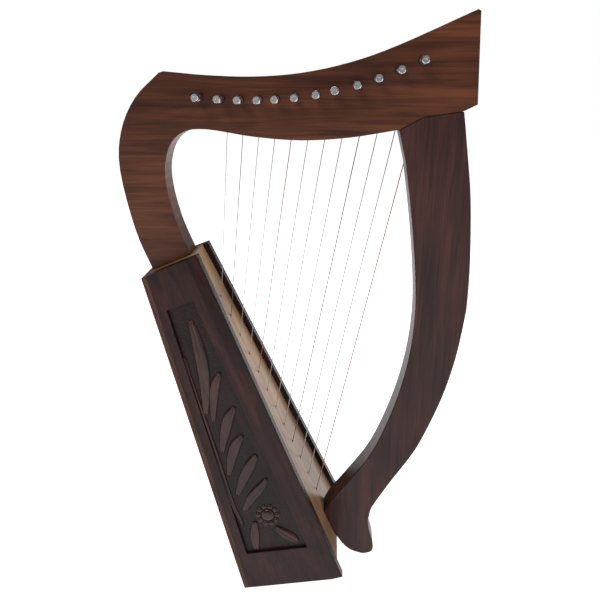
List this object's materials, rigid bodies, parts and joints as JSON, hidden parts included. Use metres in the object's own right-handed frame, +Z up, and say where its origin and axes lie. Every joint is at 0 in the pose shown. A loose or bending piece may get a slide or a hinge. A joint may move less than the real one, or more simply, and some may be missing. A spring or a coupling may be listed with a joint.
{
  "type": "lap_harp",
  "caption": "Lap harp of dark rosewood: bowed pillar, plank neck with steel tuning pins, nylon strings and a tapering soundbox with sunk carving fields",
  "frame": {"origin": "bottom centre of the bounding box, on the floor", "axes": "+X from the soundbox towards the pillar, +Y from the drive ends of the tuning pins towards the strings, +Z up"},
  "size_m": [0.3073, 0.1316, 0.5339],
  "materials": {
    "black_nylon": "smooth",
    "clear_nylon": "smooth",
    "inner_hardwood": "raw, sanded",
    "neck_rosewood": "satin varnish",
    "pillar_rosewood": "satin varnish",
    "pin_steel": "polished",
    "red_nylon": "smooth",
    "side_rosewood": "satin varnish",
    "soundboard_spruce": "satin varnish"
  },
  "bodies": {
    "harp": {"neck": "neck_rosewood", "pillar": "pillar_rosewood", "side_board_near": "side_rosewood", "side_board_far": "side_rosewood", "soundboard": "soundboard_spruce", "back_panel": "side_rosewood", "top_block": "inner_hardwood", "base_block": "inner_hardwood", "string_rib": "inner_hardwood", "foot_dowel": "inner_hardwood", "neck_dowel_1": "inner_hardwood", "neck_dowel_2": "inner_hardwood", "string_01": "clear_nylon", "string_02": "black_nylon", "string_03": "clear_nylon", "string_04": "clear_nylon", "string_05": "red_nylon", "string_06": "clear_nylon", "string_07": "clear_nylon", "string_08": "clear_nylon", "string_09": "black_nylon", "string_10": "clear_nylon", "string_11": "clear_nylon", "string_12": "red_nylon", "bridge_pin_01": "pin_steel", "bridge_pin_02": "pin_steel", "bridge_pin_03": "pin_steel", "bridge_pin_04": "pin_steel", "bridge_pin_05": "pin_steel", "bridge_pin_06": "pin_steel", "bridge_pin_07": "pin_steel", "bridge_pin_08": "pin_steel", "bridge_pin_09": "pin_steel", "bridge_pin_10": "pin_steel", "bridge_pin_11": "pin_steel", "bridge_pin_12": "pin_steel"},
    "pin_01": {"tuning_pin_01": "pin_steel", "winding_01": "clear_nylon"},
    "pin_02": {"tuning_pin_02": "pin_steel", "winding_02": "black_nylon"},
    "pin_03": {"tuning_pin_03": "pin_steel", "winding_03": "clear_nylon"},
    "pin_04": {"tuning_pin_04": "pin_steel", "winding_04": "clear_nylon"},
    "pin_05": {"tuning_pin_05": "pin_steel", "winding_05": "red_nylon"},
    "pin_06": {"tuning_pin_06": "pin_steel", "winding_06": "clear_nylon"},
    "pin_07": {"tuning_pin_07": "pin_steel", "winding_07": "clear_nylon"},
    "pin_08": {"tuning_pin_08": "pin_steel", "winding_08": "clear_nylon"},
    "pin_09": {"tuning_pin_09": "pin_steel", "winding_09": "black_nylon"},
    "pin_10": {"tuning_pin_10": "pin_steel", "winding_10": "clear_nylon"},
    "pin_11": {"tuning_pin_11": "pin_steel", "winding_11": "clear_nylon"},
    "pin_12": {"tuning_pin_12": "pin_steel", "winding_12": "red_nylon"}
  },
  "joints": [
    {"name": "tune_01", "type": "hinge", "parent": "harp", "child": "pin_01", "pos_m": [-0.0805, 0, 0.47096], "axis": [0, 1, 0], "continuous": true},
    {"name": "tune_02", "type": "hinge", "parent": "harp", "child": "pin_02", "pos_m": [-0.063, 0, 0.46976], "axis": [0, 1, 0], "continuous": true},
    {"name": "tune_03", "type": "hinge", "parent": "harp", "child": "pin_03", "pos_m": [-0.047, 0, 0.46904], "axis": [0, 1, 0], "continuous": true},
    {"name": "tune_04", "type": "hinge", "parent": "harp", "child": "pin_04", "pos_m": [-0.0315, 0, 0.46895], "axis": [0, 1, 0], "continuous": true},
    {"name": "tune_05", "type": "hinge", "parent": "harp", "child": "pin_05", "pos_m": [-0.0175, 0, 0.46941], "axis": [0, 1, 0], "continuous": true},
    {"name": "tune_06", "type": "hinge", "parent": "harp", "child": "pin_06", "pos_m": [-0.002, 0, 0.47061], "axis": [0, 1, 0], "continuous": true},
    {"name": "tune_07", "type": "hinge", "parent": "harp", "child": "pin_07", "pos_m": [0.015, 0, 0.47286], "axis": [0, 1, 0], "continuous": true},
    {"name": "tune_08", "type": "hinge", "parent": "harp", "child": "pin_08", "pos_m": [0.03, 0, 0.47566], "axis": [0, 1, 0], "continuous": true},
    {"name": "tune_09", "type": "hinge", "parent": "harp", "child": "pin_09", "pos_m": [0.0475, 0, 0.47988], "axis": [0, 1, 0], "continuous": true},
    {"name": "tune_10", "type": "hinge", "parent": "harp", "child": "pin_10", "pos_m": [0.064, 0, 0.48485], "axis": [0, 1, 0], "continuous": true},
    {"name": "tune_11", "type": "hinge", "parent": "harp", "child": "pin_11", "pos_m": [0.081, 0, 0.49098], "axis": [0, 1, 0], "continuous": true},
    {"name": "tune_12", "type": "hinge", "parent": "harp", "child": "pin_12", "pos_m": [0.0985, 0, 0.49797], "axis": [0, 1, 0], "continuous": true}
  ]
}
